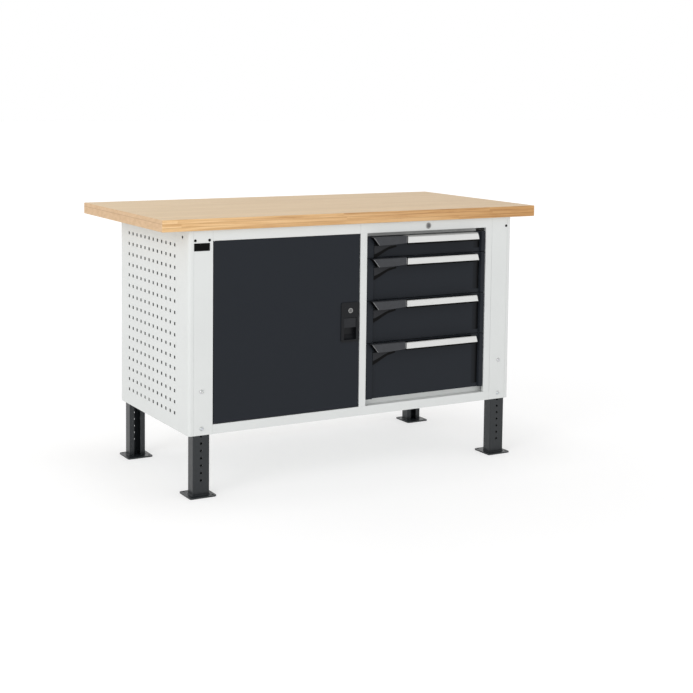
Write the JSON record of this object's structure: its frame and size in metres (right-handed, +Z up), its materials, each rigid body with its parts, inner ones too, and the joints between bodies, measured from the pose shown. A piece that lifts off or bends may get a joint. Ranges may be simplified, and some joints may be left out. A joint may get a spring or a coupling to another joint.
{
  "type": "workbench with drawers",
  "caption": "Wide workbench with a thick wooden worktop, a hinged cupboard door on the left, drawers on the right, perforated side panels and height-adjustable legs.",
  "frame": {"origin": "on the floor under the middle of the object's bounding box", "axes": "+X to the right seen from the front, +Y from the front towards the back, +Z up"},
  "size_m": [1.5, 0.76, 0.932],
  "materials": {
    "worktop_wood": "clear-oiled beech, fine long grain",
    "body_paint": "light grey powder coat, fine texture",
    "front_paint": "anthracite powder coat, satin",
    "leg_paint": "dark grey powder coat, satin",
    "bar_aluminium": "pale anodised, satin",
    "grip_plastic": "dark grey, fine grained",
    "black_plastic": "black, satin",
    "lock_nickel": "nickel plated",
    "zinc_steel": "bright zinc plated"
  },
  "bodies": {
    "bench": {"worktop": "worktop_wood", "left_side_panel": "body_paint", "right_side_panel": "body_paint", "leg_sleeves": "body_paint", "leg_clamp_screws": "zinc_steel", "cupboard_top_rail": "body_paint", "drawer_top_rail": "body_paint", "front_bottom_rail": "body_paint", "drawer_left_wall": "body_paint", "drawer_right_wall": "body_paint", "cupboard_left_wall": "body_paint", "floor_panels": "body_paint", "back_panel": "body_paint", "cupboard_shelf": "body_paint", "shelf_pegs": "zinc_steel", "cabinet_slide_rails": "zinc_steel", "name_plate": "black_plastic", "door_hinge_pins": "zinc_steel", "drawer_lock_housing": "lock_nickel"},
    "front_left_leg": {"front_left_leg": "leg_paint"},
    "front_right_leg": {"front_right_leg": "leg_paint"},
    "rear_left_leg": {"rear_left_leg": "leg_paint"},
    "rear_right_leg": {"rear_right_leg": "leg_paint"},
    "door": {"door_panel": "front_paint", "door_inner_panel": "body_paint", "door_hinge_sleeves": "zinc_steel", "door_latch_housing": "black_plastic"},
    "latch_paddle": {"door_latch_paddle": "black_plastic"},
    "latch_bolt": {"door_latch_bolt": "zinc_steel"},
    "door_key": {"door_key_cylinder": "lock_nickel"},
    "drawer_lock": {"drawer_lock_cylinder": "lock_nickel"},
    "lock_bar": {"drawer_lock_bar": "zinc_steel"},
    "drawer_1": {"drawer_1_box": "body_paint", "drawer_1_front": "front_paint", "drawer_1_handle_bar": "bar_aluminium", "drawer_1_grip": "grip_plastic", "drawer_1_runners": "zinc_steel"},
    "middle_rails_1": {"drawer_1_middle_rails": "zinc_steel"},
    "catch_1": {"drawer_1_catch_lever": "black_plastic"},
    "drawer_2": {"drawer_2_box": "body_paint", "drawer_2_front": "front_paint", "drawer_2_handle_bar": "bar_aluminium", "drawer_2_grip": "grip_plastic", "drawer_2_runners": "zinc_steel"},
    "middle_rails_2": {"drawer_2_middle_rails": "zinc_steel"},
    "catch_2": {"drawer_2_catch_lever": "black_plastic"},
    "drawer_3": {"drawer_3_box": "body_paint", "drawer_3_front": "front_paint", "drawer_3_handle_bar": "bar_aluminium", "drawer_3_grip": "grip_plastic", "drawer_3_runners": "zinc_steel"},
    "middle_rails_3": {"drawer_3_middle_rails": "zinc_steel"},
    "catch_3": {"drawer_3_catch_lever": "black_plastic"},
    "drawer_4": {"drawer_4_box": "body_paint", "drawer_4_front": "front_paint", "drawer_4_handle_bar": "bar_aluminium", "drawer_4_grip": "grip_plastic", "drawer_4_runners": "zinc_steel"},
    "middle_rails_4": {"drawer_4_middle_rails": "zinc_steel"},
    "catch_4": {"drawer_4_catch_lever": "black_plastic"}
  },
  "joints": [
    {"name": "front_left_leg_height", "type": "slide", "parent": "bench", "child": "front_left_leg", "axis": [0, 0, -1], "range_m": [-0.125, 0.1]},
    {"name": "front_right_leg_height", "type": "slide", "parent": "bench", "child": "front_right_leg", "axis": [0, 0, -1], "range_m": [-0.125, 0.1]},
    {"name": "rear_left_leg_height", "type": "slide", "parent": "bench", "child": "rear_left_leg", "axis": [0, 0, -1], "range_m": [-0.125, 0.1]},
    {"name": "rear_right_leg_height", "type": "slide", "parent": "bench", "child": "rear_right_leg", "axis": [0, 0, -1], "range_m": [-0.125, 0.1]},
    {"name": "door_hinge", "type": "hinge", "parent": "bench", "child": "door", "pos_m": [-0.5574, -0.3524, 0.548], "axis": [0, 0, -1], "range_deg": [0, 105]},
    {"name": "latch_paddle_pull", "type": "hinge", "parent": "door", "child": "latch_paddle", "pos_m": [-0.04, -0.356, 0.5575], "axis": [-1, 0, 0], "range_deg": [0, 35], "stiffness_Nm_per_rad": 0.3, "springref_deg": -5.73},
    {"name": "latch_bolt_slide", "type": "slide", "parent": "door", "child": "latch_bolt", "axis": [1, 0, 0], "range_m": [-0.0081, 0]},
    {"name": "door_key_turn", "type": "hinge", "parent": "door", "child": "door_key", "pos_m": [-0.0385, -0.35, 0.587], "axis": [0, 1, 0], "range_deg": [0, 90]},
    {"name": "drawer_lock_turn", "type": "hinge", "parent": "bench", "child": "drawer_lock", "pos_m": [0.2825, -0.35, 0.873], "axis": [0, 1, 0], "range_deg": [0, 90]},
    {"name": "lock_bar_slide", "type": "slide", "parent": "bench", "child": "lock_bar", "axis": [0, 0, -1], "range_m": [0, 0.008]},
    {"name": "drawer_1_slide", "type": "slide", "parent": "bench", "child": "drawer_1", "axis": [0, -1, 0], "range_m": [0, 0.5]},
    {"name": "middle_rails_1_slide", "type": "slide", "parent": "bench", "child": "middle_rails_1", "axis": [0, -1, 0], "range_m": [0, 0.25]},
    {"name": "catch_1_press", "type": "hinge", "parent": "drawer_1", "child": "catch_1", "pos_m": [0.06, -0.354, 0.806], "axis": [1, 0, 0], "range_deg": [0, 6], "stiffness_Nm_per_rad": 0.05, "springref_deg": -5.73},
    {"name": "drawer_2_slide", "type": "slide", "parent": "bench", "child": "drawer_2", "axis": [0, -1, 0], "range_m": [0, 0.5]},
    {"name": "middle_rails_2_slide", "type": "slide", "parent": "bench", "child": "middle_rails_2", "axis": [0, -1, 0], "range_m": [0, 0.25]},
    {"name": "catch_2_press", "type": "hinge", "parent": "drawer_2", "child": "catch_2", "pos_m": [0.06, -0.354, 0.729], "axis": [1, 0, 0], "range_deg": [0, 6], "stiffness_Nm_per_rad": 0.05, "springref_deg": -5.73},
    {"name": "drawer_3_slide", "type": "slide", "parent": "bench", "child": "drawer_3", "axis": [0, -1, 0], "range_m": [0, 0.5]},
    {"name": "middle_rails_3_slide", "type": "slide", "parent": "bench", "child": "middle_rails_3", "axis": [0, -1, 0], "range_m": [0, 0.25]},
    {"name": "catch_3_press", "type": "hinge", "parent": "drawer_3", "child": "catch_3", "pos_m": [0.06, -0.354, 0.577], "axis": [1, 0, 0], "range_deg": [0, 6], "stiffness_Nm_per_rad": 0.05, "springref_deg": -5.73},
    {"name": "drawer_4_slide", "type": "slide", "parent": "bench", "child": "drawer_4", "axis": [0, -1, 0], "range_m": [0, 0.5]},
    {"name": "middle_rails_4_slide", "type": "slide", "parent": "bench", "child": "middle_rails_4", "axis": [0, -1, 0], "range_m": [0, 0.25]},
    {"name": "catch_4_press", "type": "hinge", "parent": "drawer_4", "child": "catch_4", "pos_m": [0.06, -0.354, 0.425], "axis": [1, 0, 0], "range_deg": [0, 6], "stiffness_Nm_per_rad": 0.05, "springref_deg": -5.73}
  ],
  "couplings": [
    {"joint": "latch_bolt_slide", "follows": "latch_paddle_pull", "m_per_rad": -0.013096},
    {"joint": "drawer_lock_turn", "follows": "lock_bar_slide", "rad_per_m": 196.34},
    {"joint": "middle_rails_1_slide", "follows": "drawer_1_slide", "ratio": 0.5},
    {"joint": "middle_rails_2_slide", "follows": "drawer_2_slide", "ratio": 0.5},
    {"joint": "middle_rails_3_slide", "follows": "drawer_3_slide", "ratio": 0.5},
    {"joint": "middle_rails_4_slide", "follows": "drawer_4_slide", "ratio": 0.5}
  ]
}
